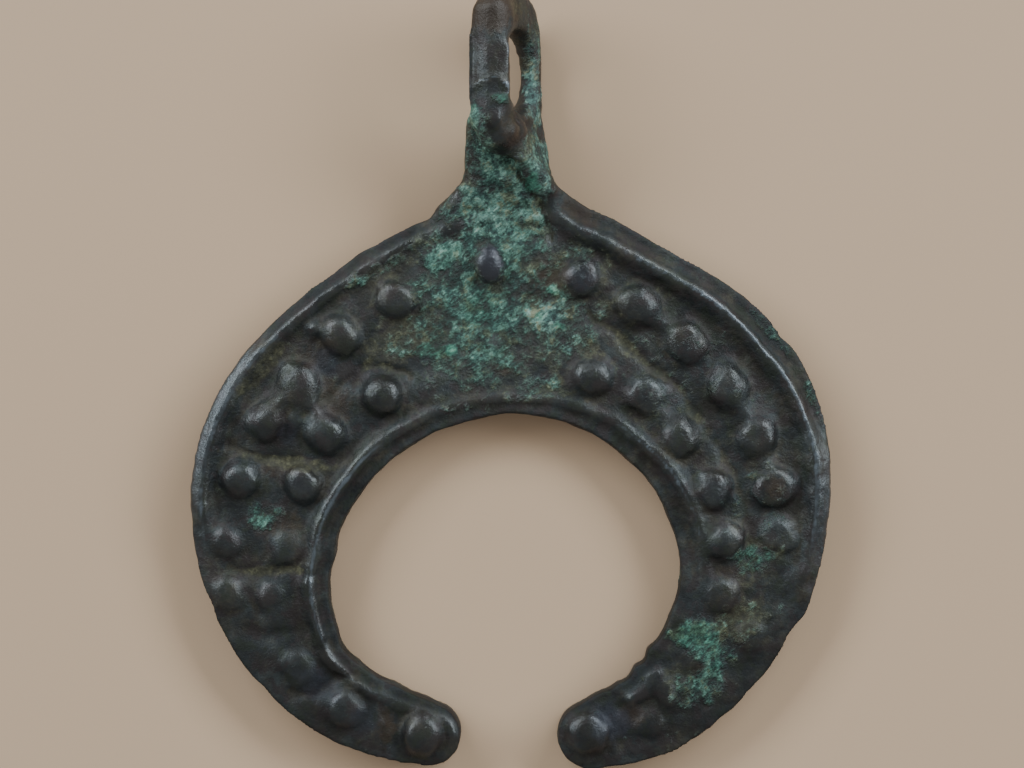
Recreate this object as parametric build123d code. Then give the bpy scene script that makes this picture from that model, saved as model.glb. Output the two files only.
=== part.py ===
from build123d import *
from collections import namedtuple
import math
import os

# A cast bronze lunula: a crescent plate with a raised rim and two rows of pellets, and on its
# crown a neck that carries an upright eye. It was poured in one go, so it is one solid.
# It is laid out flat on its back, face up, with the eye towards +Y and the horns towards -Y.
# Sizes are in millimetres and degrees. Round the crescent a place is given as on a clock face:
# 0 is the crown, positive angles run to the right horn and negative ones to the left.

# The plate
opening_radius = 9.2
crown_width = 10.8
edge_height = 1.0
crest_height = 2.3
floor_sink = 0.55
edge_bevel = 1.0
crest_width = 0.35
crest_slope = 0.45

# The pellets
pellet_radius = 1.15
pellet_height = 0.75

# The eye, which stands across the plate, and the neck under it
eye_radius = 2.0
eye_rise = 7.1
eye_shift = 0.2
eye_turn = 26.0
wall_top = 2.2
wall_front = 1.25
wall_back = 0.85
wall_below = 2.3
eye_corner = 2.5
strap_front = 1.6
strap_back = 0.85
neck_width = 4.7
neck_foot = 3.0

# How far the forms are drawn below the back before it is cut flat, and a pellet below the floor
cut_depth = 0.5
pellet_root = 0.5
pellet_sides = 12

# What follows from them: the sunk floor, the plate's edge under the neck, and the eye's place
floor_height = crest_height - floor_sink
crown_edge = opening_radius + crown_width
foot = crown_edge - neck_foot
eye_height = crown_edge + eye_rise
eye_depth = wall_back + 2 * eye_radius + wall_front
eye_middle = wall_back + eye_radius

# The crescent, station by station from the left horn to the right one. The inner edge is a share
# of opening_radius, the width of crown_width, the bevels of edge_bevel, and the rim of
# crest_width and crest_slope together.
Station = namedtuple("Station", "clock inner width outer_bevel inner_bevel rim")
STATIONS = [
    Station(-152, 0.763, 0.310, 0.40, 0.40, 0.6),
    Station(-140, 0.810, 0.352, 0.30, 0.60, 0.7),
    Station(-120, 0.940, 0.404, 0.30, 0.85, 0.8),
    Station(-90, 1.010, 0.601, 0.35, 0.80, 0.9),
    Station(-60, 1.000, 0.835, 0.90, 1.10, 1.0),
    Station(-45, 0.992, 0.884, 0.85, 1.00, 1.0),
    Station(-30, 0.985, 0.915, 0.80, 0.90, 1.0),
    Station(-12, 0.985, 1.003, 0.70, 0.85, 1.0),
    Station(12, 1.005, 1.045, 0.80, 0.85, 1.0),
    Station(22, 1.010, 0.982, 1.00, 1.00, 1.0),
    Station(32, 1.015, 0.970, 1.20, 1.10, 1.0),
    Station(44, 1.012, 0.976, 1.50, 1.20, 1.0),
    Station(60, 1.010, 0.900, 1.10, 1.25, 1.0),
    Station(75, 0.998, 0.762, 0.85, 1.25, 1.0),
    Station(90, 0.985, 0.642, 0.70, 1.20, 0.9),
    Station(105, 0.935, 0.535, 0.55, 1.00, 0.9),
    Station(120, 0.880, 0.470, 0.50, 0.80, 0.8),
    Station(140, 0.795, 0.390, 0.40, 0.55, 0.7),
    Station(150, 0.780, 0.330, 0.40, 0.40, 0.6),
]

# The pellets, as cast: none is quite in line or quite like its neighbour. The share across runs
# from 0 at the inner edge to 1 at the outer one; size and height are shares of pellet_radius and
# pellet_height. CAP has the rings of one, each with its shares of that pellet's radius and height.
Pellet = namedtuple("Pellet", "clock across size height")
CAP = [(0.88, 0.5), (0.6, 0.85), (0.2, 1.0)]
LEFT_PELLETS = [
    Pellet(-20.9, 0.69, 0.95, 1.0),
    Pellet(-33.4, 0.70, 1.00, 1.0),
    Pellet(-46.0, 0.67, 1.05, 1.0),
    Pellet(-55.8, 0.66, 1.00, 1.0),
    Pellet(-68.8, 0.74, 1.00, 1.0),
    Pellet(-82.6, 0.78, 0.95, 0.9),
    Pellet(-93.5, 0.80, 0.90, 0.8),
    Pellet(-20.4, 0.22, 0.85, 0.7),
    Pellet(-32.9, 0.31, 1.05, 1.1),
    Pellet(-49.6, 0.34, 1.10, 1.1),
    Pellet(-64.1, 0.31, 1.00, 1.0),
    Pellet(-80.5, 0.36, 1.00, 0.8),
    Pellet(-95.5, 0.42, 0.90, 0.7),
    Pellet(-111.6, 0.56, 1.10, 0.8),
    Pellet(-129.1, 0.60, 1.05, 0.9),
    Pellet(-149.0, 0.50, 1.10, 1.0),
]
RIGHT_PELLETS = [
    Pellet(13.6, 0.67, 0.90, 0.8),
    Pellet(25.0, 0.65, 1.05, 1.0),
    Pellet(36.2, 0.64, 1.05, 1.0),
    Pellet(48.1, 0.63, 1.10, 1.1),
    Pellet(59.4, 0.62, 1.05, 1.0),
    Pellet(70.1, 0.66, 1.10, 1.0),
    Pellet(81.9, 0.70, 1.00, 0.9),
    Pellet(92.0, 0.72, 0.90, 0.8),
    Pellet(102.0, 0.76, 0.85, 0.7),
    Pellet(22.3, 0.24, 0.95, 0.9),
    Pellet(36.3, 0.30, 1.00, 0.9),
    Pellet(49.1, 0.27, 1.05, 1.0),
    Pellet(64.5, 0.29, 1.00, 1.0),
    Pellet(79.6, 0.32, 1.10, 1.0),
    Pellet(92.4, 0.33, 0.95, 0.7),
    Pellet(110.0, 0.42, 0.90, 0.6),
    Pellet(124.0, 0.42, 0.85, 0.7),
    Pellet(133.0, 0.66, 0.85, 0.7),
    Pellet(148.0, 0.48, 1.15, 1.0),
]

# The neck, level by level from its foot on the plate to the underside of the eye. Rise is a share
# of the way from the foot to the eye's centre, width and shift of neck_width, depth of the eye's
# full depth, and turn of eye_turn.
Level = namedtuple("Level", "rise shift width depth turn")
NECK = [
    Level(0.00, 0.05, 1.80, 0.30, 0.0),
    Level(0.24, 0.10, 1.94, 0.35, 0.0),
    Level(0.31, 0.06, 1.70, 0.38, 0.0),
    Level(0.37, 0.04, 1.36, 0.43, 0.1),
    Level(0.43, 0.03, 1.06, 0.49, 0.2),
    Level(0.50, 0.01, 0.90, 0.56, 0.4),
    Level(0.61, -0.01, 0.74, 0.68, 0.8),
    Level(0.78, -0.01, 0.42, 0.80, 1.0),
]

# The drops of metal down the front of the eye and the neck. Rise is as above, shift is in eye
# radii from the middle, depth a share of the eye's full depth, and size is in pellet radii.
Drop = namedtuple("Drop", "rise shift depth size")
DROPS = [
    Drop(0.98, -0.26, 0.91, 0.66),
    Drop(0.86, -0.38, 0.86, 0.66),
    Drop(0.68, -0.10, 0.70, 0.80),
    Drop(0.47, 0.06, 0.44, 0.60),
    Drop(0.01, -0.48, 0.28, 0.70),
]


def ramp(clock, field):
    """A column of STATIONS at any clock angle, run straight from one station to the next."""
    for before, after in zip(STATIONS, STATIONS[1:]):
        if clock <= after.clock:
            break
    share = (clock - before.clock) / (after.clock - before.clock)
    low = getattr(before, field)
    return low + share * (getattr(after, field) - low)


def clock_point(clock, across):
    """The point at a clock angle and a share of the width, from the inner edge outwards."""
    radius = ramp(clock, "inner") * opening_radius + across * ramp(clock, "width") * crown_width
    angle = math.radians(clock)
    return Vector(radius * math.sin(angle), radius * math.cos(angle), 0)


def along(index):
    """The direction of the middle line at a station, clockwise."""
    middles = [clock_point(station.clock, 0.5) for station in STATIONS]
    chords = [after - before for before, after in zip(middles, middles[1:])]
    before = chords[max(index - 1, 0)]
    after = chords[min(index, len(chords) - 1)]
    return (before.normalized() * after.length + after.normalized() * before.length).normalized()


def rim_points(half, bevel, rim):
    """Half of a section, from the foot of the edge over the rim's crest to the floor."""
    crest_outer = half - bevel * edge_bevel
    crest_inner = crest_outer - rim * crest_width
    floor_edge = crest_inner - rim * crest_slope
    return [
        (half, -cut_depth),
        (half, edge_height),
        (crest_outer, crest_height),
        (crest_inner, crest_height),
        (floor_edge, floor_height),
    ]


def station_plane(index):
    """Upright plane across the limb: its x points outwards and its y up."""
    direction = along(index)
    outwards = Vector(-direction.Y, direction.X, 0)
    return Plane(clock_point(STATIONS[index].clock, 0.5), x_dir=outwards, z_dir=direction)


def plate_section(index):
    station = STATIONS[index]
    half = station.width * crown_width / 2
    outer = rim_points(half, station.outer_bevel, station.rim)
    inner = rim_points(half, station.inner_bevel, station.rim)
    outline = outer + [(-x, y) for x, y in reversed(inner)]
    return station_plane(index) * make_face(Polyline(*outline, close=True))


def horn_tip(index, side):
    """The rounded end of a limb: half a turn of its own half section."""
    station = STATIONS[index]
    half = station.width * crown_width / 2
    rim = rim_points(half, station.outer_bevel, station.rim)
    face = make_face(Polyline((0, -cut_depth), *rim, (0, floor_height), close=True))
    plane = station_plane(index)
    axis = Axis(plane.origin, (0, 0, side))
    return revolve(plane * face, axis, 180)


def ring_points(place, radius, height):
    """The corners of a pellet's ring at a height above the floor."""
    turns = [2 * math.pi * side / pellet_sides for side in range(pellet_sides)]
    level = place.Z + floor_height + height
    return [
        Vector(place.X + radius * math.cos(turn), place.Y + radius * math.sin(turn), level)
        for turn in turns
    ]


def pellet(row):
    """A low faceted dome on the plate's floor, with its root in the metal below."""
    place = clock_point(row.clock, row.across)
    radius = row.size * pellet_radius
    height = row.height * pellet_height
    rings = [ring_points(place, radius, -pellet_root)]
    rings += [ring_points(place, across * radius, up * height) for across, up in CAP]
    outlines = [rings[0], rings[-1]]
    for low, high in zip(rings, rings[1:]):
        outlines += [
            (low[side - 1], low[side], high[side], high[side - 1]) for side in range(pellet_sides)
        ]
    return Solid(Shell([Face(Wire.make_polygon(outline)) for outline in outlines]))


def crescent():
    limb = loft([plate_section(index) for index in range(len(STATIONS))])
    plate = limb + horn_tip(len(STATIONS) - 1, -1) + horn_tip(0, 1)
    return plate + [pellet(row) for row in LEFT_PELLETS + RIGHT_PELLETS]


def eye_blank():
    """The upright block of the eye, across its hole, wider in front than at the back."""
    tall = wall_top + 2 * eye_radius + wall_below
    middle = (wall_front - wall_back) / 2
    front = middle + eye_depth / 2
    back = middle - eye_depth / 2
    outline = RectangleRounded(tall, eye_depth, eye_corner)
    outline = Pos((wall_top - wall_below) / 2, middle) * outline
    wedge = Polyline(
        (-strap_front / 2, front),
        (strap_front / 2, front),
        (strap_back / 2, back),
        (-strap_back / 2, back),
        close=True,
    )
    slab = extrude(Plane.YZ * outline, strap_front, both=True)
    return slab & extrude(Plane.XZ * make_face(wedge), tall, both=True)


def neck_section(level):
    width = level.width * neck_width
    depth = level.depth * eye_depth + cut_depth
    height = foot + level.rise * (eye_height - foot)
    outline = RectangleRounded(width, depth, min(width, depth) / 4)
    upright = Plane((0, 0, 0), x_dir=(-1, 0, 0), z_dir=(0, 1, 0)) * outline
    turned = Rot(0, -level.turn * eye_turn, 0) * upright
    return Pos(level.shift * neck_width, height, depth / 2 - cut_depth) * turned


def drop(row):
    return Pos(
        row.shift * eye_radius,
        foot + row.rise * (eye_height - foot),
        row.depth * eye_depth,
    ) * Rot(0, 90, 0) * Sphere(row.size * pellet_radius)


def stem():
    """The neck and the eye, with the drops down their front, pierced for the cord."""
    place = Pos(eye_shift, eye_height, eye_middle) * Rot(0, -eye_turn, 0)
    solid = loft([neck_section(level) for level in NECK], ruled=True) + place * eye_blank()
    for row in DROPS:
        solid += drop(row)
    return solid - place * Rot(0, 90, 0) * Cylinder(eye_radius, 4 * strap_front)


def above_the_back(solid):
    reach = 4 * (eye_height + wall_top)
    return solid & Pos(0, 0, reach / 2) * Box(reach, reach, reach)


os.makedirs("parts", exist_ok=True)
lunula = above_the_back(crescent()) + above_the_back(stem())
middle = lunula.bounding_box().center()
lunula = Pos(-middle.X, -middle.Y, 0) * lunula
export_step(lunula, "parts/lunula.step")
print("volume", lunula.volume, "middle", middle, lunula.bounding_box(), lunula.is_valid)
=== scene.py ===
import math

import bmesh
import bpy
import numpy as np
from mathutils import Matrix, Vector, noise
from mathutils.bvhtree import BVHTree


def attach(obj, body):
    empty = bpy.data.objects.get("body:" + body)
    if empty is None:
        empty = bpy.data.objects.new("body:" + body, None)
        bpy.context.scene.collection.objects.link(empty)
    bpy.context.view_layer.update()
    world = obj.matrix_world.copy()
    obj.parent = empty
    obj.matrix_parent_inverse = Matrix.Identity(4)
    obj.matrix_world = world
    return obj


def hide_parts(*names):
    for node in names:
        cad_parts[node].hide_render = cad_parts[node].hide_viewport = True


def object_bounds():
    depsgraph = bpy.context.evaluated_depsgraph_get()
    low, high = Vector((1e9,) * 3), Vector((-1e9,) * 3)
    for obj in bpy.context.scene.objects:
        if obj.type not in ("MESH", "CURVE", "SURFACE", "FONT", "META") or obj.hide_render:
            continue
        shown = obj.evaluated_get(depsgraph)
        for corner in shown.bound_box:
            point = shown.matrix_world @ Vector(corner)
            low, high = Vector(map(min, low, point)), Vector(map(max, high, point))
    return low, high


# A cast bronze lunula, laid on its back on a pale floor and seen from straight above. The casting
# is worked in millimetres, in the frame of the model, and is brought to metres at the end.
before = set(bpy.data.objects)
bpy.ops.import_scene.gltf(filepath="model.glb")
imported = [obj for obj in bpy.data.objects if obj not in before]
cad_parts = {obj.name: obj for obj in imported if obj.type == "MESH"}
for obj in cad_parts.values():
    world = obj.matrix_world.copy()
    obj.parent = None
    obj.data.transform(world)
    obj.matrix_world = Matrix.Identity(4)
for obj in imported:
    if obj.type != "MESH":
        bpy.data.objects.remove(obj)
cad_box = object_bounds()
MM = 0.001

# The camera's place in metres and its lens, and the daylight and floor round the piece
CAMERA_PLACE = (0.00006, -0.00007, 0.120)
LENS = 78.9
DAYLIGHT = (0.82, 0.93, 1.0)
ROOM_LIGHT = (0.97, 1.0, 0.99, 1)
FLOOR_COLOUR = (0.55, 0.375, 0.245, 1)

# The opening between the horns is round about this point. Round the crescent a place is given as
# on a clock face: 0 is the crown, and positive angles run to the right horn.
OPENING = (-0.214, -10.880)

# How fine the metal is worked, before and after the lumps are run in
ROUGH_CAST = 0.16
FINE_CAST = 0.142

# The level of the sunk floor, how far it swells into the neck, and how far a row's bank rises
FLOOR_LEVEL = 1.72
NECK_MOUND = 0.55
BANK_RISE = 0.09

# Where the crescent runs into the neck, and the neck into the eye, from the horns upwards
NECK_RUN = (6.2, 8.8)
EYE_RUN = (12.0, 14.0)

# The level at which the crescent's outline is taken, and the height of the wall set up on it
OUTLINE_LEVEL = 0.3
WALL_RISE = 10.0

# The outer rim, by clock angle: how far its crest stands in from the edge, how high the edge comes
# up, the level of the crest, and how wide a ledge runs along the edge before the face leans in
OUTER_RIM = np.array([
    (-160, 0.40, 1.30, 2.00, 0.0),
    (-140, 0.60, 1.25, 1.80, 0.0),
    (-120, 0.70, 1.25, 1.76, 0.0),
    (-95, 0.70, 1.30, 1.78, 0.0),
    (-82, 0.62, 1.45, 1.95, 0.0),
    (-75, 0.66, 1.92, 2.26, 0.0),
    (-66, 0.70, 1.97, 2.36, 0.0),
    (-56, 0.72, 1.98, 2.38, 0.0),
    (-48, 0.70, 1.94, 2.34, 0.0),
    (-42, 0.70, 1.40, 2.22, 0.0),
    (-34, 0.75, 1.05, 2.12, 0.0),
    (-18, 0.75, 0.95, 2.02, 0.0),
    (-6, 0.70, 0.90, 1.95, 0.0),
    (3, 1.10, 0.75, 2.15, 0.0),
    (8, 1.25, 0.70, 2.35, 0.0),
    (14, 1.25, 0.70, 2.38, 0.0),
    (22, 1.20, 0.75, 2.40, 0.0),
    (30, 1.18, 0.80, 2.38, 0.0),
    (37, 1.20, 0.78, 2.38, 0.2),
    (44, 1.32, 0.75, 2.38, 0.4),
    (54, 1.15, 0.75, 2.36, 0.3),
    (61, 1.05, 1.10, 2.38, 0.1),
    (67, 0.90, 1.88, 2.40, 0.0),
    (77, 0.80, 1.88, 2.34, 0.0),
    (84, 0.75, 1.55, 2.05, 0.0),
    (93, 0.75, 1.40, 1.85, 0.0),
    (105, 0.70, 1.30, 1.76, 0.0),
    (140, 0.60, 1.20, 1.78, 0.0),
    (160, 0.40, 1.30, 1.95, 0.0),
])

# The inner rim in the same way
INNER_RIM = np.array([
    (-160, 0.40, 1.20, 2.05, 0.0),
    (-140, 0.70, 1.00, 1.98, 0.0),
    (-120, 0.85, 0.90, 2.06, 0.0),
    (-104, 0.85, 0.90, 2.20, 0.0),
    (-90, 0.88, 0.90, 2.32, 0.0),
    (-70, 0.95, 0.85, 2.32, 0.0),
    (-48, 1.00, 0.80, 2.28, 0.0),
    (-30, 0.90, 0.80, 2.10, 0.0),
    (-12, 0.85, 0.80, 1.96, 0.0),
    (12, 0.85, 0.80, 1.96, 0.0),
    (32, 1.10, 0.80, 2.06, 0.0),
    (44, 1.20, 0.85, 2.28, 0.0),
    (60, 1.25, 0.90, 2.34, 0.0),
    (72, 1.25, 0.90, 2.26, 0.0),
    (84, 1.20, 0.90, 2.02, 0.0),
    (96, 1.10, 0.95, 1.86, 0.0),
    (120, 0.80, 1.00, 1.80, 0.0),
    (140, 0.60, 1.10, 1.80, 0.0),
    (160, 0.40, 1.20, 1.95, 0.0),
])

# How strongly a painted highlight line is laid along each crest, by clock angle, and where a bright
# band, shaped partly in the rim and partly a painted highlight, takes the whole wall outside the
# crest
OUTER_CREST_HIGHLIGHT = np.array([
    (-90, 0.0), (-80, 0.8), (-48, 0.8), (-38, 0.3), (-20, 0.1), (0, 0.0), (10, 0.3), (20, 0.6),
    (30, 1.0), (80, 1.0), (92, 0.2), (100, 0.0),
])
INNER_CREST_HIGHLIGHT = np.array([
    (-160, 0.3), (-140, 0.8), (-100, 1.0), (-70, 1.0), (-45, 0.7), (-25, 0.2), (0, 0.0), (25, 0.1),
    (35, 0.7), (60, 0.9), (75, 0.5), (90, 0.0),
])
BRIGHT_BAND = np.array([
    (-90, 0.0), (-80, 0.6), (-72, 1.0), (-48, 1.0), (-42, 0.2), (-36, 0.0), (58, 0.0), (64, 0.7),
    (70, 1.0), (80, 1.0), (88, 0.3), (95, 0.0),
])

# Where the outline swells or shrinks a little: clock angle, half width in degrees, and how far the
# outer and the inner edge move away from the opening's centre
OUTLINE = [
    (-110, 4, 0.00, 0.18), (-79, 4, 0.00, -0.18), (-131, 5, 0.00, -0.10), (-93, 2, -0.10, 0.00),
    (-112, 2, -0.10, 0.00), (99, 3, -0.18, -0.06), (94, 2, 0.08, 0.00), (113, 3, 0.00, -0.20),
    (118, 2, 0.04, 0.10), (127, 3, 0.00, 0.20), (121, 2, -0.08, -0.10), (134, 3, 0.08, 0.14),
    (47, 2, -0.10, 0.00), (51, 2, 0.05, 0.00), (-33, 2, 0.08, 0.00), (-24, 2, 0.08, 0.05),
]

# The middle line of the crescent's width, by clock angle, as a distance from the opening's centre
MIDDLE_LINE = np.array([
    (-152, 8.69), (-140, 9.35), (-120, 10.8), (-90, 12.54), (-60, 13.71), (-30, 14.00),
    (-12, 14.48), (12, 14.90), (32, 14.58), (60, 14.15), (90, 12.53), (120, 10.63),
    (140, 9.42), (150, 8.96),
])

# The pellets in their four rows, from the neck round to the horn's tip: place, radius, height, and
# how far each is worn flat
OUTER_LEFT = [
    (-6.00, 4.37, 1.15, 0.66, 0.3), (-8.94, 2.46, 1.20, 0.78, 0.0),
    (-11.20, -0.15, 1.36, 0.80, 0.1), (-12.95, -2.05, 1.15, 0.80, 0.0),
    (-14.25, -5.05, 1.20, 0.80, 0.0), (-15.05, -8.40, 0.95, 0.50, 0.0),
    (-14.95, -11.10, 1.00, 0.50, 0.0),
]
INNER_LEFT = [
    (-4.17, -0.24, 0.95, 0.26, 0.4), (-6.78, -0.70, 1.20, 0.86, 0.0),
    (-9.75, -2.65, 1.25, 0.84, 0.0), (-10.95, -5.25, 1.18, 0.80, 0.1),
    (-11.90, -8.60, 1.10, 0.42, 0.2), (-12.75, -11.25, 0.90, 0.36, 0.0),
    (-11.20, -14.90, 1.15, 0.42, 0.1), (-8.68, -17.20, 1.08, 0.54, 0.2),
    (-4.65, -18.50, 1.28, 0.84, 0.1),
]
OUTER_RIGHT = [
    (3.74, 5.52, 1.12, 0.72, 0.1), (6.68, 4.05, 1.25, 0.80, 0.2),
    (9.21, 2.12, 1.25, 0.72, 0.3), (11.42, -0.20, 1.28, 0.80, 0.2),
    (12.98, -2.86, 1.22, 0.74, 0.3), (13.90, -5.50, 1.25, 0.72, 0.5),
    (14.14, -8.00, 1.10, 0.50, 0.4), (15.00, -10.60, 0.90, 0.30, 0.3),
    (12.70, -13.20, 0.95, 0.34, 0.3),
]
INNER_RIGHT = [
    (4.31, 0.34, 1.15, 0.70, 0.0), (7.15, -0.70, 1.20, 0.62, 0.3),
    (8.87, -2.90, 1.20, 0.72, 0.2), (10.58, -5.60, 1.18, 0.74, 0.1),
    (11.20, -8.30, 1.22, 0.72, 0.0), (11.10, -11.15, 1.05, 0.50, 0.3),
    (9.96, -14.30, 1.00, 0.28, 0.4), (8.15, -16.30, 0.95, 0.40, 0.2),
    (7.30, -17.90, 0.90, 0.34, 0.3), (4.05, -18.40, 1.25, 0.76, 0.0),
]
PELLETS = OUTER_LEFT + INNER_LEFT + OUTER_RIGHT + INNER_RIGHT

# Lumps of metal on the front of the eye, on the neck and below it: centre, half sizes and turn
LUMPS = [
    (-1.00, 14.60, 4.95, 0.78, 0.46, 0.86, 0),
    (-0.15, 12.95, 3.55, 1.02, 1.15, 0.88, 20),
    (-0.30, 10.75, 2.85, 0.55, 0.40, 0.50, 0),
    (-1.15, 6.25, 2.05, 0.80, 1.00, 0.55, 12),
    (-0.90, 2.15, 1.70, 0.50, 0.50, 0.26, 0),
]

# The middle of the eye's hole, and its front strap: the middle of its round face, half its width
# and its highest level
EYE = (-0.25, 16.2, 3.2)
STRAP = (-0.95, 1.12, 5.85)

# Low saddles of metal that join some pellets: height, half width and course
SADDLES = [
    (0.66, 0.75, [(-11.20, -0.15), (-12.95, -2.05)]),
    (0.66, 0.75, [(-11.20, -0.15), (-9.75, -2.65)]),
    (0.52, 0.85, [(-11.2, -1.0), (-11.3, -1.9)]),
    (0.46, 0.50, [(-8.94, 2.46), (-10.30, 2.86)]),
    (0.40, 0.65, [(11.42, -0.20), (12.98, -2.86)]),
    (0.40, 0.65, [(12.98, -2.86), (13.90, -5.50)]),
    (0.40, 0.60, [(7.15, -0.70), (8.87, -2.90)]),
    (0.38, 0.60, [(6.68, 4.05), (9.21, 2.12)]),
    (0.34, 0.55, [(6.40, -16.60), (7.70, -15.30)]),
]

# Furrows across the face: depth, half width and course
FURROWS = [
    (0.20, 0.30, [(4.1, 3.6), (5.6, 2.6), (7.2, 1.0), (8.8, -0.2), (10.0, -1.9)]),
    (0.12, 0.26, [(10.4, -2.6), (11.9, -5.0), (12.5, -7.4), (12.8, -10.0)]),
    (0.14, 0.24, [(-14.9, -3.4), (-13.2, -3.9), (-11.4, -4.1), (-10.2, -4.6)]),
    (0.12, 0.30, [(-14.9, -9.8), (-13.4, -10.1), (-11.6, -9.8), (-10.6, -10.1)]),
    (0.14, 0.55, [(-14.0, -13.0), (-12.6, -13.3), (-10.8, -13.0)]),
    (0.16, 0.30, [(-11.6, -16.4), (-10.4, -16.5), (-9.2, -15.6), (-8.3, -15.5)]),
    (0.10, 0.30, [(-13.3, -6.6), (-12.9, -8.4), (-13.5, -10.0), (-13.4, -12.2)]),
    (0.12, 0.18, [(-7.5, 1.2), (-9.2, -0.5), (-11.0, -1.8)]),
    (0.18, 0.20, [(-8.2, -0.1), (-7.6, 0.8), (-6.4, 0.9), (-5.3, 0.3)]),
    (0.20, 0.16, [(0.4, 11.0), (1.0, 10.0), (1.7, 8.9), (1.9, 8.2), (2.2, 7.6)]),
    (-0.22, 0.24, [(-1.84, 13.7), (-1.25, 12.5), (-0.35, 11.95), (0.5, 11.7)]),
    (-0.10, 0.16, [(-1.95, 15.15), (-1.5, 15.36), (-1.0, 15.42), (-0.5, 15.36), (-0.1, 15.15)]),
    (0.14, 0.24, [(-6.6, -17.6), (-6.5, -18.8), (-6.8, -19.8)]),
    (0.10, 0.24, [(6.0, -17.0), (5.8, -18.6), (6.2, -19.8)]),
]

# Small hollows in the metal: place, radius and depth
DENTS = [
    (-0.2, 11.33, 0.36, 0.42), (0.75, 9.2, 0.26, 0.20), (1.5, 8.1, 0.24, 0.18),
    (-2.3, 9.0, 0.35, 0.12), (-3.1, 5.0, 0.45, 0.12), (1.2, 4.2, 0.60, 0.14),
    (-1.9, 3.3, 0.70, 0.14), (2.6, 1.9, 0.50, 0.10), (-7.3, 5.0, 0.30, 0.10),
    (7.8, 5.2, 0.35, 0.10), (12.2, 1.3, 0.40, 0.12), (-16.3, -7.6, 0.25, 0.10),
    (15.9, -10.5, 0.35, 0.16), (-9.9, -13.9, 0.35, 0.14), (10.3, -17.1, 0.35, 0.12),
]

# Patches of verdigris: place, half sizes, turn, strength, how pale and how teal they are
VERDIGRIS = [
    (-0.8, 8.9, 2.9, 1.8, 0, 0.95, 0.70, 0.2),
    (-0.4, 11.3, 2.2, 1.6, 0, 0.85, 0.54, 0.3),
    (-3.4, 6.7, 1.4, 0.8, 30, 1.00, 0.80, 0.4),
    (-6.6, 6.1, 1.9, 0.5, 22, 0.50, 0.45, 0.0),
    (-8.0, 5.3, 0.6, 0.3, 20, 0.75, 0.50, 0.2),
    (-1.7, 3.9, 1.6, 1.2, 0, 0.80, 0.25, 0.6),
    (-4.2, 1.7, 1.2, 0.6, 10, 0.80, 0.30, 0.9),
    (-3.2, 1.8, 0.45, 0.40, 0, 1.00, 0.60, 1.0),
    (1.8, 3.5, 1.5, 1.0, -12, 0.85, 0.95, 0.0),
    (1.5, 3.5, 0.35, 0.25, -20, 1.00, 1.00, 0.8),
    (2.6, 3.0, 0.35, 0.25, -20, 1.00, 1.00, 0.8),
    (2.2, 4.9, 0.40, 0.35, 0, 0.95, 0.90, 0.9),
    (1.1, 10.4, 0.50, 0.65, 20, 1.00, 0.70, 1.0),
    (-1.9, 13.6, 0.50, 0.8, 0, 0.95, 0.80, 0.6),
    (-0.5, 14.5, 0.55, 0.3, 0, 0.90, 0.20, 0.9),
    (1.1, 15.6, 0.55, 2.4, 4, 0.85, 1.00, 0.0),
    (1.3, 18.0, 0.60, 1.2, 4, 0.60, 0.40, 0.0),
    (1.8, 11.6, 0.50, 1.8, 8, 0.80, 0.40, 0.1),
    (-1.4, 1.0, 1.3, 1.4, 0, 0.65, 0.15, 0.3),
    (-5.9, 2.0, 1.2, 0.8, 10, 0.55, 0.60, 0.0),
    (-5.2, 4.6, 1.6, 1.6, 20, 0.45, 0.30, 0.0),
    (3.2, 6.4, 1.6, 1.2, -20, 0.40, 0.20, 0.0),
    (1.4, -0.2, 1.5, 0.8, 0, 0.50, 0.35, 0.1),
    (-13.0, -7.0, 1.1, 0.75, 10, 0.68, 0.30, 0.4),
    (12.7, -9.3, 1.2, 0.8, 0, 0.66, 0.05, 0.6),
    (9.8, -13.3, 1.4, 1.1, 0, 0.80, 0.22, 0.8),
    (10.6, -14.4, 1.2, 1.1, 0, 0.72, 0.28, 0.6),
    (10.0, -15.8, 1.5, 1.2, 20, 0.64, 0.15, 0.3),
    (12.0, -12.8, 2.2, 1.4, 30, 0.38, 0.05, 0.0),
    (13.6, 2.8, 1.9, 0.35, -48, 0.60, 0.10, 0.0),
    (15.9, -0.9, 1.2, 0.3, -72, 0.50, 0.05, 0.0),
    (9.0, 0.5, 3.4, 2.6, -45, 0.22, 0.05, 0.0),
    (12.8, -6.4, 1.8, 2.8, 0, 0.22, 0.05, 0.0),
    (-1.5, 4.0, 4.4, 4.6, 0, 0.74, 0.20, 0.3),
    (3.0, 3.0, 1.8, 2.2, -40, 0.60, 0.30, 0.0),
    (-0.6, 8.0, 2.8, 2.8, 0, 0.88, 0.40, 0.3),
    (-1.8, 12.6, 0.8, 1.6, 0, 0.65, 0.45, 0.4),
    (1.3, 12.3, 0.5, 1.2, 10, 0.70, 0.45, 0.1),
]

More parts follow.
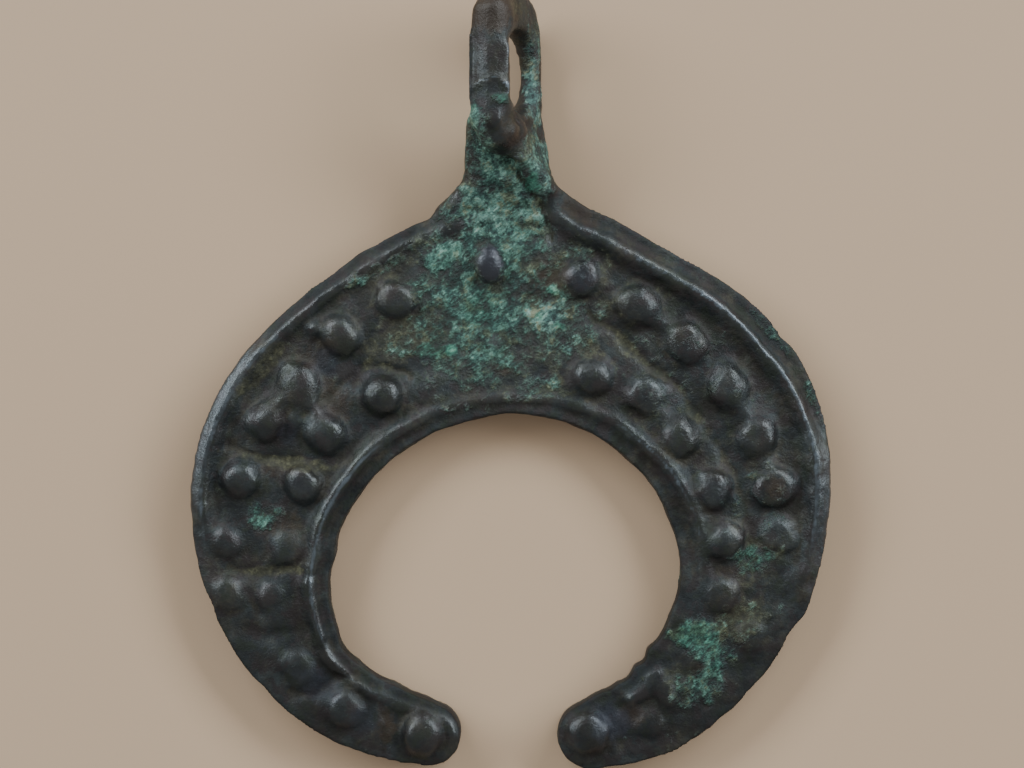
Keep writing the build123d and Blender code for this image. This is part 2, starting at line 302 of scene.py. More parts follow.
# Patches of ochre and olive soil: place, half sizes, turn and strength
SOIL = [
    (-4.8, 2.6, 3.2, 1.6, 20, 0.92),
    (-6.4, 5.9, 2.4, 0.7, 22, 0.60),
    (1.8, 5.9, 1.8, 1.1, 0, 0.55),
    (3.4, 2.4, 2.2, 0.8, -40, 0.70),
    (2.4, 6.5, 0.5, 0.3, -20, 1.00),
    (2.6, 0.1, 0.35, 0.3, 0, 1.00),
    (-13.2, 0.6, 0.5, 2.0, -40, 0.80),
    (-11.6, -4.2, 3.0, 0.4, -8, 0.80),
    (-12.5, -9.9, 1.8, 0.35, 0, 0.80),
    (5.6, 2.3, 2.4, 0.5, -42, 0.60),
    (0.0, -0.4, 5.0, 0.9, 0, 0.45),
    (13.2, -9.8, 1.4, 1.6, 0, 0.50),
    (12.0, -12.6, 2.0, 1.1, 30, 0.85),
    (9.6, -15.6, 1.6, 1.4, 0, 0.55),
    (-0.4, 9.0, 2.4, 1.6, 0, 0.30),
    (-1.0, 13.4, 0.5, 1.2, 0, 0.40),
    (-0.4, 3.8, 7.0, 4.6, 0, 0.66),
    (9.0, -1.2, 5.0, 3.0, -48, 0.30),
    (0.6, 19.2, 0.9, 1.4, 0, 0.50),
]

# Places stained red brown by rust in the soil
RUST = [
    (-0.9, 9.9, 0.35, 0.25, -20, 1.00),
    (0.3, 7.4, 0.8, 0.5, 0, 0.75),
    (1.9, 5.6, 1.4, 1.0, 0, 0.80),
    (-0.4, 0.8, 0.9, 0.6, 0, 0.70),
    (-1.0, 19.2, 1.4, 1.4, 0, 1.00),
    (-0.1, 12.9, 0.7, 1.0, 22, 0.50),
    (13.9, -5.5, 0.7, 0.7, 0, 0.60),
    (-6.6, -18.2, 0.6, 1.2, 0, 0.60),
    (-11.7, -4.4, 1.8, 0.6, 0, 0.60),
    (11.3, -9.9, 0.8, 0.4, 0, 0.50),
    (-12.6, -7.4, 1.8, 0.9, 0, 0.50),
    (6.3, -17.4, 1.0, 1.0, 0, 0.50),
    (-10.2, 1.6, 1.2, 0.8, 40, 0.50),
    (12.0, -12.0, 1.6, 1.2, 0, 0.40),
    (3.7, 9.0, 1.8, 0.8, -38, 0.60),
    (-9.2, -0.9, 0.9, 1.5, 20, 0.55),
]

# Places where the bronze has turned a bluish plum
PLUM = [
    (-1.15, 6.25, 0.85, 1.05, 12, 1.00),
    (3.74, 5.52, 1.00, 1.00, 0, 0.60),
    (-9.60, 1.00, 0.90, 0.90, 0, 0.60),
    (-11.70, -2.80, 0.80, 0.80, 0, 0.60),
    (-11.0, -5.20, 0.90, 0.90, 0, 0.50),
    (-10.10, -16.00, 1.60, 1.00, -40, 0.60),
    (-7.80, -17.80, 1.00, 0.80, 0, 0.60),
    (5.30, -17.90, 1.20, 1.40, 0, 0.70),
    (9.60, 1.40, 1.40, 0.80, -50, 0.40),
    (10.60, -5.60, 0.90, 0.90, 0, 0.50),
]

# Places rubbed bare of verdigris and soil
BARE = [
    (-1.15, 6.25, 0.75, 0.95, 12, 1.00),
    (3.60, 9.10, 1.30, 0.75, -38, 1.00),
    (-0.10, 12.85, 0.90, 1.15, 20, 1.00),
    (-1.05, 16.40, 0.85, 1.20, 0, 0.90),
    (-6.00, 4.37, 0.90, 0.90, 0, 0.90),
    (-6.78, -0.70, 1.00, 1.00, 0, 0.90),
    (3.74, 5.52, 0.85, 0.85, 0, 0.80),
    (4.31, 0.34, 0.90, 0.90, 0, 0.80),
]

# Flat colours in the metal: its green and brown stains, its dark lower limbs, its worn places
# together with the painted highlights along the rim crests and bright band, and what rust and plum
# turn it to
GREEN_STAIN = (0.021, 0.027, 0.017, 1)
BROWN_STAIN = (0.030, 0.021, 0.021, 1)
DARK_METAL = (0.012, 0.010, 0.010, 1)
WORN_METAL_AND_HIGHLIGHT = (0.092, 0.108, 0.124, 1)
RUSTY_METAL = (0.042, 0.027, 0.018, 1)
PLUM_METAL = (0.026, 0.028, 0.040, 1)


def ease(value, low, high):
    """0 below low and 1 above high, with a soft run between them."""
    share = np.clip((value - low) / (high - low), 0, 1)
    return share * share * (3 - 2 * share)


def soft_max(first, second, blend):
    """The higher of two heights, with a fillet where they cross."""
    near = np.clip(0.5 + 0.5 * (first - second) / blend, 0, 1)
    return second + (first - second) * near + blend * near * (1 - near)


def grain(points, size, seed, octaves=3):
    """Soft random relief, about -1 to 1, of a grain size in millimetres."""
    shift = Vector((seed * 17.3, seed * 9.1, seed * 5.7))
    places = [Vector(point) / size + shift for point in points]
    kind = "PERLIN_ORIGINAL"
    return np.array([noise.fractal(place, 1.0, 2.0, octaves, noise_basis=kind) for place in places])


def drifted(points, reach, size, seed):
    """The points moved a little in plan, so that nothing drawn on the metal is quite regular."""
    moved = points.copy()
    moved[:, 0] += reach * grain(points, size, seed, 2)
    moved[:, 1] += reach * grain(points, size, seed + 0.5, 2)
    return moved


def corners(mesh):
    found = np.empty(len(mesh.vertices) * 3)
    mesh.vertices.foreach_get("co", found)
    return found.reshape(-1, 3)


def facings(mesh):
    """The outward direction at each corner of a mesh."""
    found = np.empty(len(mesh.vertices) * 3)
    mesh.vertex_normals.foreach_get("vector", found)
    return found.reshape(-1, 3)


def set_corners(mesh, points):
    mesh.vertices.foreach_set("co", points.ravel())
    mesh.update()


def worked(mesh, kind, **settings):
    """A fresh copy of a mesh with one modifier worked in. The old one goes."""
    blank = bpy.data.objects.new("blank", mesh)
    bpy.context.scene.collection.objects.link(blank)
    step = blank.modifiers.new("step", kind)
    for field, value in settings.items():
        setattr(step, field, value)
    done = blank.evaluated_get(bpy.context.evaluated_depsgraph_get())
    fresh = bpy.data.meshes.new_from_object(done)
    bpy.data.objects.remove(blank)
    bpy.data.meshes.remove(mesh)
    return fresh


def smoothed(mesh, reach):
    """Where the corners of a mesh would lie if it were rubbed smooth."""
    painted_rim_highlight = worked(mesh.copy(), "SMOOTH", factor=0.5, iterations=reach)
    found = corners(painted_rim_highlight)
    bpy.data.meshes.remove(painted_rim_highlight)
    return found


def solid_copy():
    """The lunula's solid in millimetres, its facets run together."""
    shape = bmesh.new()
    shape.from_mesh(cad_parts["lunula"].data)
    bmesh.ops.remove_doubles(shape, verts=shape.verts, dist=1e-7)
    bmesh.ops.scale(shape, vec=(1 / MM,) * 3, verts=shape.verts)
    return shape


def rough_casting():
    shape = solid_copy()
    mesh = bpy.data.meshes.new("lunula_casting")
    shape.to_mesh(mesh)
    shape.free()
    return mesh


def add_lumps(mesh):
    """Rounded lumps of metal, each sunk into the casting under it."""
    shape = bmesh.new()
    shape.from_mesh(mesh)
    for x, y, z, across, along, up, turn in LUMPS:
        lump = bmesh.ops.create_uvsphere(shape, u_segments=32, v_segments=24, radius=1)["verts"]
        place = Matrix.Translation((x, y, z)) @ Matrix.Rotation(math.radians(turn), 4, "Z")
        bmesh.ops.scale(shape, vec=(across, along, up), verts=lump)
        bmesh.ops.transform(shape, matrix=place, verts=lump)
    shape.to_mesh(mesh)
    shape.free()


def edge_wall():
    """An upright wall on the crescent's outline, to measure distances from the edge."""
    shape = solid_copy()
    cut = bmesh.ops.bisect_plane(
        shape,
        geom=shape.verts[:] + shape.edges[:] + shape.faces[:],
        plane_co=(0, 0, OUTLINE_LEVEL),
        plane_no=(0, 0, 1),
    )["geom_cut"]
    kept = {part for part in cut if isinstance(part, bmesh.types.BMEdge)}
    bmesh.ops.delete(shape, geom=shape.faces[:], context="FACES_ONLY")
    spare = [edge for edge in shape.edges if edge not in kept]
    bmesh.ops.delete(shape, geom=spare, context="EDGES")
    loose = [corner for corner in shape.verts if not corner.link_edges]
    bmesh.ops.delete(shape, geom=loose, context="VERTS")
    top = bmesh.ops.extrude_edge_only(shape, edges=shape.edges[:])["geom"]
    raised = [part for part in top if isinstance(part, bmesh.types.BMVert)]
    bmesh.ops.translate(shape, vec=(0, 0, WALL_RISE), verts=raised)
    wall = BVHTree.FromBMesh(shape)
    shape.free()
    return wall


def edge_distance(points, wall):
    """How far each point lies, in plan, from the crescent's edge."""
    return np.array([wall.find_nearest((x, y, WALL_RISE / 2))[3] for x, y in points[:, :2]])


def course_distance(points, course):
    """How far each point lies, in plan, from a drawn course."""
    found = np.full(len(points), 99.0)
    for start, end in zip(np.array(course), np.array(course)[1:]):
        run = end - start
        share = np.clip((points[:, :2] - start) @ run / (run @ run), 0, 1)
        foot = start + share[:, None] * run
        found = np.minimum(found, np.hypot(*(points[:, :2] - foot).T))
    return found


def clock_at(points):
    """Clock angle and radius of each point, and whether it lies on the crescent's outer half."""
    x, y = points[:, 0] - OPENING[0], points[:, 1] - OPENING[1]
    clock, radius = np.degrees(np.arctan2(x, y)), np.hypot(x, y)
    return clock, radius, radius > np.interp(clock, *MIDDLE_LINE.T)


def rim_at(points):
    """The outer or inner rim's stand, shoulder, crest level and ledge beside each point."""
    clock, _, outside = clock_at(points)
    found = []
    for field in range(1, 5):
        outer = np.interp(clock, OUTER_RIM[:, 0], OUTER_RIM[:, field])
        inner = np.interp(clock, INNER_RIM[:, 0], INNER_RIM[:, field])
        found.append(np.where(outside, outer, inner))
    return found


def bright_band(points):
    """How far each point lies in the bright band along the outer edge, by clock angle alone."""
    clock, _, outside = clock_at(points)
    return np.where(outside, np.interp(clock, *BRIGHT_BAND.T), 0)


def rim_height(points, distance):
    """The height of the raised rim, which falls away on both sides of its crest."""
    stand, shoulder, crest, ledge = rim_at(points)
    stand = stand + 0.08 * grain(points, 1.8, 11, 2)
    crest = crest + 0.07 * grain(points, 1.5, 12, 2) - 0.03
    rounding = 0.75 - 0.45 * bright_band(points)
    peak = crest + 0.21 * rounding
    up = np.clip((distance - ledge) / (stand - ledge), 0, None)
    outer_face = shoulder + (peak - shoulder) * up
    inner_face = peak - 0.9 * (distance - stand)
    return -soft_max(-outer_face, -inner_face, rounding)


def shift_outline(points):
    """Moves the walls of the crescent in and out a little, as the casting's outline wanders."""
    clock, radius, outside = clock_at(points)
    shift = np.zeros(len(points))
    for middle, half_width, outer, inner in OUTLINE:
        share = np.exp(-((clock - middle) / half_width) ** 2)
        shift += share * np.where(outside, outer, inner)
    shift *= plate_share(points) / np.maximum(radius, 1)
    points[:, 0] += shift * (points[:, 0] - OPENING[0])
    points[:, 1] += shift * (points[:, 1] - OPENING[1])


def add_pellets(height, points):
    """Lays the rows of pellets on the floor, each row on a low bank."""
    for row in (OUTER_LEFT, INNER_LEFT, OUTER_RIGHT, INNER_RIGHT):
        bank = course_distance(points, [pellet[:2] for pellet in row])
        height += BANK_RISE * np.exp(-bank ** 2)
    for rise, half_width, course in SADDLES:
        share = np.exp(-(course_distance(points, course) / half_width) ** 2)
        height[:] = soft_max(height, FLOOR_LEVEL - 0.1 + (rise + 0.1) * share, 0.12)
    for number, (x, y, radius, rise, worn) in enumerate(PELLETS):
        near = np.hypot(points[:, 0] - x, points[:, 1] - y) < 1.5 * radius
        spot = points[near]
        turn = 2.4 * number
        long_way = (spot[:, 0] - x) * math.cos(turn) + (spot[:, 1] - y) * math.sin(turn)
        cross_way = (spot[:, 1] - y) * math.cos(turn) - (spot[:, 0] - x) * math.sin(turn)
        away = np.hypot(long_way / 1.06, cross_way / 0.95) / radius
        away *= 1 + 0.10 * grain(spot, 1.1, 20 + number, 2)
        swell = np.clip(1 - away ** 2.4, 0, 1) ** 0.62
        top = 1 - 0.35 * worn
        swell = np.where(swell > top, top + 0.15 * (swell - top), swell)
        dome = FLOOR_LEVEL - 0.14 + (rise + 0.14) * swell
        height[near] = soft_max(height[near], dome, 0.20)


def front_height(points, distance):
    """The worked face of the crescent: rim, sunk floor and pellets."""
    points = drifted(points, 0.12, 1.3, 41)
    height = FLOOR_LEVEL + 0.09 * grain(points, 1.6, 1) + 0.04 * grain(points, 0.6, 2)
    mound = np.exp(-((points[:, 0] + 0.3) / 2.8) ** 2) * ease(points[:, 1], 3.6, 8.0)
    height += NECK_MOUND * mound
    height = soft_max(rim_height(points, distance), height, 0.14)
    add_pellets(height, points)
    return height


def plate_share(points):
    """1 on the crescent and 0 on the neck, with a soft run between them."""
    x, y = points[:, 0], points[:, 1]
    beside_neck = np.where(x < 0, ease(-x, 3.0, 5.2), ease(x, 1.8, 3.2))
    return 1 - ease(y, *NECK_RUN) * (1 - beside_neck)


def round_strap(points, facing):
    """Brings the face of the eye's front strap to a round bar."""
    middle, half_width, top = STRAP
    across = np.abs(points[:, 0] - middle) / half_width
    level = top - half_width * (1 - np.sqrt(1 - 0.94 * np.clip(across, 0, 1) ** 2))
    share = ease(facing[:, 2], 0.0, 0.3) * ease(points[:, 2], 3.0, 3.8) * (across < 1)
    share *= ease(points[:, 1], 13.0, 14.2) * (1 - ease(points[:, 1], 19.0, 20.0))
    points[:, 2] += share * (level - points[:, 2])
    beside_hole = ease(points[:, 1], 14.2, 14.8) * (1 - ease(points[:, 1], 17.2, 17.8))
    beside_hole *= ease(points[:, 2], 2.8, 3.3) * ease(facing[:, 0], 0.2, 0.5)
    beside_hole *= ease(points[:, 0], -0.75, -0.45) * (1 - ease(points[:, 0], 0.4, 0.6))
    points[:, 0] += beside_hole * (middle + half_width - 0.22 - points[:, 0])


def shape_face(mesh, wall):
    """Brings the front of the crescent to its worked height and rounds the eye."""
    points, facing = corners(mesh), facings(mesh)
    distance = edge_distance(points, wall)
    front = ease(facing[:, 2], -0.05, 0.15) * ease(points[:, 2], 0.35, 0.6) * plate_share(points)
    outward = ((points - EYE) * facing).sum(1)[:, None] > 0
    rounded = smoothed(mesh, 26) + np.where(outward, 0.12, -0.05) * facing
    round_strap(rounded, facing)
    points[:, 2] += front * (front_height(points, distance) - points[:, 2])
    points += ease(points[:, 1], *EYE_RUN)[:, None] * (rounded - points)
    shift_outline(points)
    set_corners(mesh, points)


def weather(points, facing, crust):
    """Fine relief: casting skin, uneven walls and back, verdigris crust, furrows and dents."""
    upward = ease(facing[:, 2], 0.1, 0.5)
    sideways = ease(1 - np.abs(facing[:, 2]), 0.3, 0.8)
    downward = ease(-facing[:, 2], 0.5, 0.9)
    right_limb = ease(points[:, 0], 1, 5)
    out = 0.024 * grain(points, 0.9, 5) + 0.014 * grain(points, 0.35, 6, 2)
    out += 0.034 * right_limb * upward * grain(points, 0.45, 13, 3)
    out += sideways * (0.05 * grain(points, 1.4, 9, 2) - 0.02)
    out -= 0.12 * downward * ease(grain(points, 1.6, 15), -0.1, 0.5)
    out += crust * (0.03 + 0.06 * grain(points, 0.75, 7) + 0.05 * grain(points, 0.35, 8, 2))
    astray = drifted(points, 0.22, 0.9, 3)
    for depth, half_width, course in FURROWS:
        out -= depth * upward * np.exp(-(course_distance(astray, course) / half_width) ** 2)
    for x, y, radius, depth in DENTS:
        away = np.hypot(astray[:, 0] - x, astray[:, 1] - y) / radius
        out -= depth * upward * np.exp(-away ** 2)
    return points + facing * out[:, None]


def patch_shares(points, spots, ragged):
    """How strongly each patch covers each point, with ragged edges."""
    for x, y, across, along, turn, strength, *tones in spots:
        cosine, sine = math.cos(math.radians(turn)), math.sin(math.radians(turn))
        off_x, off_y = points[:, 0] - x, points[:, 1] - y
        u = (off_x * cosine + off_y * sine) / across
        v = (off_y * cosine - off_x * sine) / along
        yield strength * ease(1.4 - np.hypot(u, v) + 0.5 * ragged, 0, 0.95), tones


def colour_marks(points):
    """Where verdigris, soil, rust and plum lie, and how pale and how teal the verdigris is."""
    ragged = 0.6 * grain(points, 1.1, 31) + 0.5 * grain(points, 0.4, 32)
    names = ("verdigris", "pale", "teal", "soil", "rust", "plum")
    marks = {name: np.zeros(len(points)) for name in names}
    for share, (pale, teal) in patch_shares(points, VERDIGRIS, ragged):
        stronger = share > marks["verdigris"]
        marks["pale"] += np.where(stronger, share, 0) * (pale - marks["pale"])
        marks["teal"] += np.where(stronger, share, 0) * (teal - marks["teal"])
        marks["verdigris"] = np.maximum(marks["verdigris"], share)
    for name, spots in (("soil", SOIL), ("rust", RUST), ("plum", PLUM)):
        for share, _ in patch_shares(points, spots, ragged):
            marks[name] = np.maximum(marks[name], share)
    for share, _ in patch_shares(points, BARE, 0.4 * ragged):
        marks["verdigris"] *= 1 - share
        marks["soil"] *= 1 - share
    back = 1 - ease(points[:, 2], 0.2, 0.9)
    marks["verdigris"] += back * (0.30 + 0.25 * ragged - marks["verdigris"])
    marks["soil"] += back * (0.55 - marks["soil"])
    return marks


def rim_dullness_and_highlights(points, wall):
    """Where the dull walls outside the rims lie, and where painted highlights lie along their
    crests and over the bright band.
    """
    distance, stand = edge_distance(points, wall), rim_at(points)[0]
    clock, _, outside = clock_at(points)
    level, plate, band = points[:, 2], plate_share(points), bright_band(points)
    line = np.where(outside, np.interp(clock, *OUTER_CREST_HIGHLIGHT.T), np.interp(clock, *INNER_CREST_HIGHLIGHT.T))
    line *= np.exp(-((distance - stand + 0.04 * grain(points, 0.5, 14, 2)) / 0.13) ** 2)
    # A painted highlight: a line along each crest, and the bright band over the wall outside it
    painted_highlight = np.maximum(line, 0.8 * band * ease(stand - distance, -0.1, 0.1))
    dull = ease(stand - distance, 0.12, 0.35) * (1 - band) * ease(level, 0.5, 0.9)
    return dull * plate, painted_highlight * ease(level, 1.2, 1.6) * plate


def note(mesh, name, values):
    """Keeps a value for each corner of the mesh, for the metal's finish to read."""
    layer = mesh.attributes.new(name, "FLOAT", "POINT")
    layer.data.foreach_set("value", values.astype(np.float32))


def proud(mesh, reach):
    """How far each corner stands proud of the metal round it, over some reach."""
    return ((corners(mesh) - smoothed(mesh, reach)) * facings(mesh)).sum(1)


def note_wear_and_highlights(mesh, points, wall):
    """Notes the hollows, the raised and worn places, the painted rim highlights, the dull walls and
    the dark lower limbs.
    """
    y, level = points[:, 1], points[:, 2]
    fine, broad = proud(mesh, 5), proud(mesh, 34)
    dull_wall, painted_rim_highlight = rim_dullness_and_highlights(points, wall)
    open_face = (1 - 0.9 * dull_wall) * (1 - 0.8 * ease(y, 16.8, 18.8))
    strap = ease(y, 15.2, 16.0) * (1 - ease(y, 16.6, 18.2)) * ease(level, 4.0, 5.0)
    raised = ease(broad, -0.01, 0.07) * open_face
    worn = 0.7 * ease(fine, 0.006, 0.035) + ease(broad, 0.06, 0.20)
    worn *= ease(level, 1.9, 2.3) * open_face
    note(mesh, "hollow", ease(-broad, 0.01, 0.14))
    note(mesh, "raised", np.maximum(raised, np.maximum(painted_rim_highlight, 0.65 * strap)))
    # The worn mark holds real wear on high places and the painted highlights along the rim crests
    # and bright band
    note(mesh, "worn", worn + 0.72 * painted_rim_highlight)
    note(mesh, "dull_wall", dull_wall)
    note(mesh, "dark", 0.3 * ease(-y, 0, 6) + 0.7 * ease(-y, 9, 14))


def cast_lunula():
    """The whole casting: solid and lumps run together, worked on its face, then weathered."""
    mesh = worked(rough_casting(), "REMESH", mode="VOXEL", voxel_size=ROUGH_CAST)
    mesh = worked(mesh, "SMOOTH", factor=0.5, iterations=3)
    wall = edge_wall()
    shape_face(mesh, wall)
    add_lumps(mesh)
    mesh = worked(mesh, "REMESH", mode="VOXEL", voxel_size=FINE_CAST)
    mesh = worked(mesh, "SMOOTH", factor=0.5, iterations=2)
    points = corners(mesh)
    marks = colour_marks(points)
    points = weather(points, facings(mesh), marks["verdigris"])
    low, high = np.array(cad_box) / MM
    set_corners(mesh, np.clip(points, low, high))
    for name, values in marks.items():
        note(mesh, name, values)
    note_wear_and_highlights(mesh, points, wall)
    mesh.transform(Matrix.Scale(MM, 4))
    mesh.polygons.foreach_set("use_smooth", np.ones(len(mesh.polygons), bool))
    return mesh


class Patina:
    """A small hand for wiring the bronze's nodes."""

    def __init__(self, name):
        self.paint = bpy.data.materials.new(name)
        self.paint.use_nodes = True
        self.nodes = self.paint.node_tree.nodes
        self.links = self.paint.node_tree.links
        self.surface = self.nodes["Principled BSDF"]
        self.coordinates = self.nodes.new("ShaderNodeTexCoord").outputs["Object"]
        self.place = self.placed(0, 1)

    def placed(self, turn, stretch):
        """Places in millimetres, drawn out along a direction in plan."""
        node = self.nodes.new("ShaderNodeMapping")
        node.vector_type = "TEXTURE"
        node.inputs["Rotation"].default_value = (0, 0, math.radians(turn))
        node.inputs["Scale"].default_value = (MM * stretch, MM, MM)
        self.links.new(self.coordinates, node.inputs["Vector"])
        return node.outputs["Vector"]

    def put(self, socket, value):
        if isinstance(value, bpy.types.NodeSocket):
            self.links.new(value, socket)
        else:
            socket.default_value = value

    def noise(self, size, detail, roughness, shift, place=None):
        """Cloudy noise about 0.5, of a grain size in millimetres."""
        texture = self.nodes.new("ShaderNodeTexNoise")
        texture.noise_dimensions = "4D"
        texture.inputs["W"].default_value = shift
        texture.inputs["Scale"].default_value = 1 / size
        texture.inputs["Detail"].default_value = detail
        texture.inputs["Roughness"].default_value = roughness
        self.links.new(place or self.place, texture.inputs["Vector"])
        return texture.outputs["Fac"]

    def mark(self, name):
        layer = self.nodes.new("ShaderNodeAttribute")
        layer.attribute_name = name
        return layer.outputs["Fac"]

    def sum(self, *terms):
        """Adds up a value and any number of further ones, each with its weight."""
        total = terms[0]
        for value, weight in terms[1:]:
            node = self.nodes.new("ShaderNodeMath")
            node.operation = "MULTIPLY_ADD"
            for socket, given in zip(node.inputs, (value, weight, total)):
                self.put(socket, given)
            total = node.outputs[0]
        return total

    def run(self, value, low, high, start=0.0, end=1.0):
        """A value brought from one range to another, with soft ends."""
        node = self.nodes.new("ShaderNodeMapRange")
        node.interpolation_type = "SMOOTHSTEP"
        for socket, given in zip(node.inputs, (value, low, high, start, end)):
            self.put(socket, given)
        return node.outputs[0]

    def ramp(self, value, stops):
        node = self.nodes.new("ShaderNodeValToRGB")
        while len(node.color_ramp.elements) < len(stops):
            node.color_ramp.elements.new(0.5)
        for element, (place, colour) in zip(node.color_ramp.elements, stops):
            element.position = place
            element.color = (*colour, 1)
        self.put(node.inputs["Fac"], value)
        return node.outputs["Color"]

    def mix(self, share, first, second):
        node = self.nodes.new("ShaderNodeMix")
        node.data_type = "RGBA"
        self.put(node.inputs["Factor"], share)
        self.put(node.inputs[6], first)
        self.put(node.inputs[7], second)
        return node.outputs[2]

    def blend(self, share, first, second):
        node = self.nodes.new("ShaderNodeMix")
        self.put(node.inputs["Factor"], share)
        self.put(node.inputs[2], first)
        self.put(node.inputs[3], second)
        return node.outputs[0]

    def bump(self, height, strength, distance):
        node = self.nodes.new("ShaderNodeBump")
        self.put(node.inputs["Height"], height)
        node.inputs["Strength"].default_value = strength
        node.inputs["Distance"].default_value = distance
        return node.outputs["Normal"]


def old_bronze():
    """Dark bronze, worn on its high places, with soil in the hollows and verdigris in patches."""
    skin = Patina("old_bronze")

    # Noises by grain size, detail, roughness and shift. The streaks are drawn out along one way.
    cloud = skin.noise(1.5, 5.0, 0.6, 1.0)
    tint = skin.noise(1.8, 4.0, 0.6, 2.0)
    speck = skin.noise(0.26, 4.0, 0.65, 3.0)
    grit = skin.noise(0.11, 3.0, 0.6, 4.0)
    crust = skin.noise(0.75, 5.0, 0.62, 5.0)
    streak = skin.noise(0.12, 3.0, 0.6, 6.0, skin.placed(38, 3.2))
    hue = skin.noise(0.9, 4.0, 0.6, 7.0)
    hollow, dark = skin.mark("hollow"), skin.mark("dark")
    raised, dull_wall = skin.mark("raised"), skin.mark("dull_wall")

    # The bare metal, brown in the hollows and cool elsewhere, with its stains
    depth = skin.sum(cloud, (speck, 0.30), (grit, 0.15))
    brown = skin.ramp(depth, [
        (0.52, (0.010, 0.009, 0.007)),
        (0.73, (0.026, 0.023, 0.018)),
        (0.94, (0.062, 0.054, 0.038)),
    ])
    cool = skin.ramp(depth, [
        (0.52, (0.010, 0.011, 0.012)),
        (0.73, (0.022, 0.026, 0.027)),
        (0.94, (0.048, 0.056, 0.056)),
    ])
    warm = skin.run(skin.sum(tint, (hollow, 0.5), (speck, 0.3)), 0.52, 0.84)
    metal = skin.mix(warm, cool, brown)
    stain = skin.sum(hue, (speck, 0.25))
    metal = skin.mix(skin.run(stain, 0.65, 0.76, 0.0, 0.60), metal, GREEN_STAIN)
    metal = skin.mix(skin.run(stain, 0.61, 0.52, 0.0, 0.60), metal, BROWN_STAIN)
    metal = skin.mix(skin.sum(0.0, (dark, 0.25)), metal, DARK_METAL)
    # Worn metal on the high places, and painted highlights along the rim crests and bright band, in
    # one light bluish colour
    worn = skin.sum(skin.mark("worn"), (speck, 0.4), (grit, 0.2), (dark, -0.12))
    metal = skin.mix(skin.run(worn, 0.60, 1.4), metal, WORN_METAL_AND_HIGHLIGHT)
    rust = skin.run(skin.sum(skin.mark("rust"), (speck, 0.8)), 0.60, 1.2)
    metal = skin.mix(skin.sum(0.0, (rust, 0.8)), metal, RUSTY_METAL)
    plum = skin.run(skin.sum(skin.mark("plum"), (speck, 0.6)), 0.55, 1.2)
    metal = skin.mix(skin.sum(0.0, (plum, 0.75)), metal, PLUM_METAL)

    # Soil in the hollows
    soil_tone = skin.ramp(skin.sum(speck, (crust, 0.6)), [
        (0.60, (0.018, 0.017, 0.009)),
        (0.82, (0.048, 0.045, 0.024)),
        (1.02, (0.120, 0.112, 0.062)),
    ])
    laid = skin.sum(skin.mark("soil"), (hollow, 0.45), (crust, 1.2), (streak, 0.5))
    soil = skin.run(laid, 1.10, 1.75)
    metal = skin.mix(skin.sum(0.0, (soil, 0.8)), metal, soil_tone)

    # Verdigris, sage with olive and deep places, or teal
    spread = skin.sum(skin.mark("verdigris"), (crust, 1.4), (speck, 0.5), (streak, 0.5))
    green = skin.run(spread, 1.40, 2.10)
    tone = skin.sum(
        -1.59, (skin.mark("pale"), 0.36), (crust, 1.3), (speck, 1.0), (streak, 1.1), (grit, 0.5)
    )
    sage = skin.ramp(tone, [
        (0.10, (0.012, 0.018, 0.014)),
        (0.35, (0.033, 0.058, 0.043)),
        (0.60, (0.084, 0.170, 0.134)),
        (0.84, (0.205, 0.335, 0.275)),
        (0.98, (0.330, 0.440, 0.355)),
    ])
    olive = skin.ramp(tone, [
        (0.15, (0.016, 0.015, 0.008)),
        (0.50, (0.072, 0.072, 0.038)),
        (0.85, (0.210, 0.215, 0.130)),
    ])
    deep = skin.ramp(tone, [
        (0.15, (0.007, 0.011, 0.012)),
        (0.50, (0.018, 0.037, 0.036)),
        (0.85, (0.075, 0.165, 0.140)),
    ])
    shade = skin.sum(hue, (speck, 0.4))
    sage = skin.mix(skin.run(shade, 0.74, 0.81, 0.0, 0.90), sage, olive)
    sage = skin.mix(skin.run(shade, 0.70, 0.63, 0.0, 0.95), sage, deep)
    teal = skin.ramp(tone, [
        (0.15, (0.008, 0.024, 0.017)),
        (0.42, (0.015, 0.070, 0.047)),
        (0.68, (0.042, 0.165, 0.110)),
        (0.94, (0.175, 0.370, 0.265)),
    ])
    crusted = skin.mix(skin.mark("teal"), sage, teal)
    coloured = skin.mix(skin.sum(0.0, (green, 0.94)), metal, crusted)

    # Gloss, from polished high places to dull crust, soil and walls
    dull = skin.sum(0.0, (green, 0.9), (soil, 0.5), (hollow, 0.7), (dull_wall, 0.5))
    polish = skin.blend(raised, 0.50, skin.run(cloud, 0.3, 0.7, 0.24, 0.34))
    shine = skin.sum(skin.blend(raised, 0.45, 0.82), (dark, -0.15), (dull_wall, -0.12))

    # Pits in the skin and the rough crust
    pitted = skin.sum(0.9, (raised, -0.5), (dark, -0.3))
    relief = skin.sum(0.0, (streak, green), (crust, green), (speck, pitted), (grit, 0.2))

    surface = skin.surface.inputs
    skin.put(surface["Base Color"], coloured)
    skin.put(surface["Roughness"], skin.blend(dull, polish, 0.80))
    skin.put(surface["Metallic"], skin.blend(dull, 0.35, 0.0))
    skin.put(surface["Specular IOR Level"], shine)
    skin.put(surface["Normal"], skin.bump(relief, 0.9, 0.1 * MM))
    return skin.paint


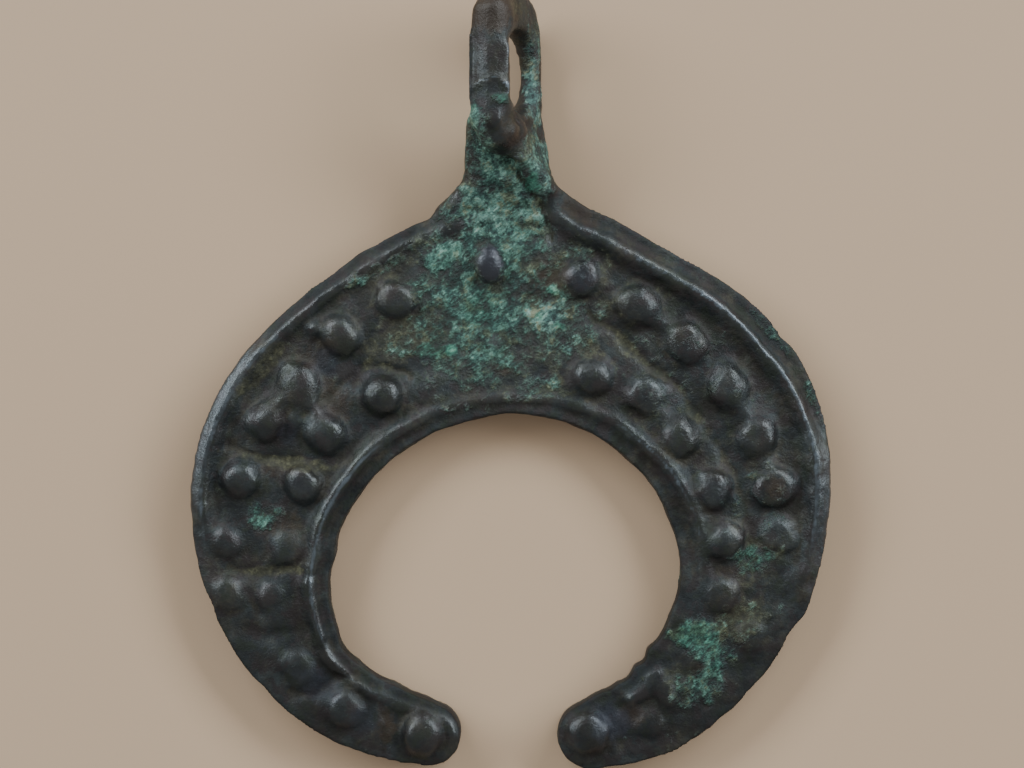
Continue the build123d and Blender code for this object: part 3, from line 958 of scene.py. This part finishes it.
def camera():
    """Straight above the piece, as the photograph looks at it."""
    data = bpy.data.cameras.new("camera")
    data.sensor_width = 36
    data.lens = LENS
    data.clip_start = 0.01
    data.clip_end = 20
    eye = bpy.data.objects.new("camera", data)
    eye.location = CAMERA_PLACE
    bpy.context.scene.collection.objects.link(eye)
    bpy.context.scene.camera = eye


def window(name, clock, height, distance, size, power):
    """A wide soft window at a clock angle round the piece and a height in degrees."""
    clock, height = math.radians(clock), math.radians(height)
    flat = distance * math.cos(height)
    place = Vector((flat * math.sin(clock), flat * math.cos(clock), distance * math.sin(height)))
    data = bpy.data.lights.new(name, "AREA")
    data.shape = "RECTANGLE"
    data.size, data.size_y = size
    data.energy = power
    data.color = DAYLIGHT
    lamp = bpy.data.objects.new(name, data)
    lamp.location = place
    lamp.rotation_euler = place.to_track_quat("Z", "Y").to_euler()
    bpy.context.scene.collection.objects.link(lamp)


def room():
    """Two windows, and soft light from all round."""
    window("window_left", -52, 30, 0.45, (0.46, 0.14), 2.0)
    window("window_right", 54, 30, 0.45, (0.50, 0.14), 2.4)
    world = bpy.data.worlds.new("room")
    world.use_nodes = True
    backdrop = world.node_tree.nodes["Background"].inputs
    backdrop["Color"].default_value = ROOM_LIGHT
    backdrop["Strength"].default_value = 0.40
    bpy.context.scene.world = world


def pale_floor():
    """A plain floor under the piece."""
    shape = bmesh.new()
    bmesh.ops.create_grid(shape, x_segments=2, y_segments=2, size=2.0)
    mesh = bpy.data.meshes.new("pale_floor")
    shape.to_mesh(mesh)
    shape.free()
    floor = bpy.data.objects.new("pale_floor", mesh)
    bpy.context.scene.collection.objects.link(floor)
    paint = bpy.data.materials.new("pale_floor")
    paint.use_nodes = True
    surface = paint.node_tree.nodes["Principled BSDF"].inputs
    surface["Base Color"].default_value = FLOOR_COLOUR
    surface["Roughness"].default_value = 0.9
    mesh.materials.append(paint)


camera()
room()
pale_floor()
casting = cast_lunula()
casting.materials.append(old_bronze())
lunula = bpy.data.objects.new("lunula_pendant", casting)
bpy.context.scene.collection.objects.link(lunula)
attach(lunula, "root")
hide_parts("lunula")
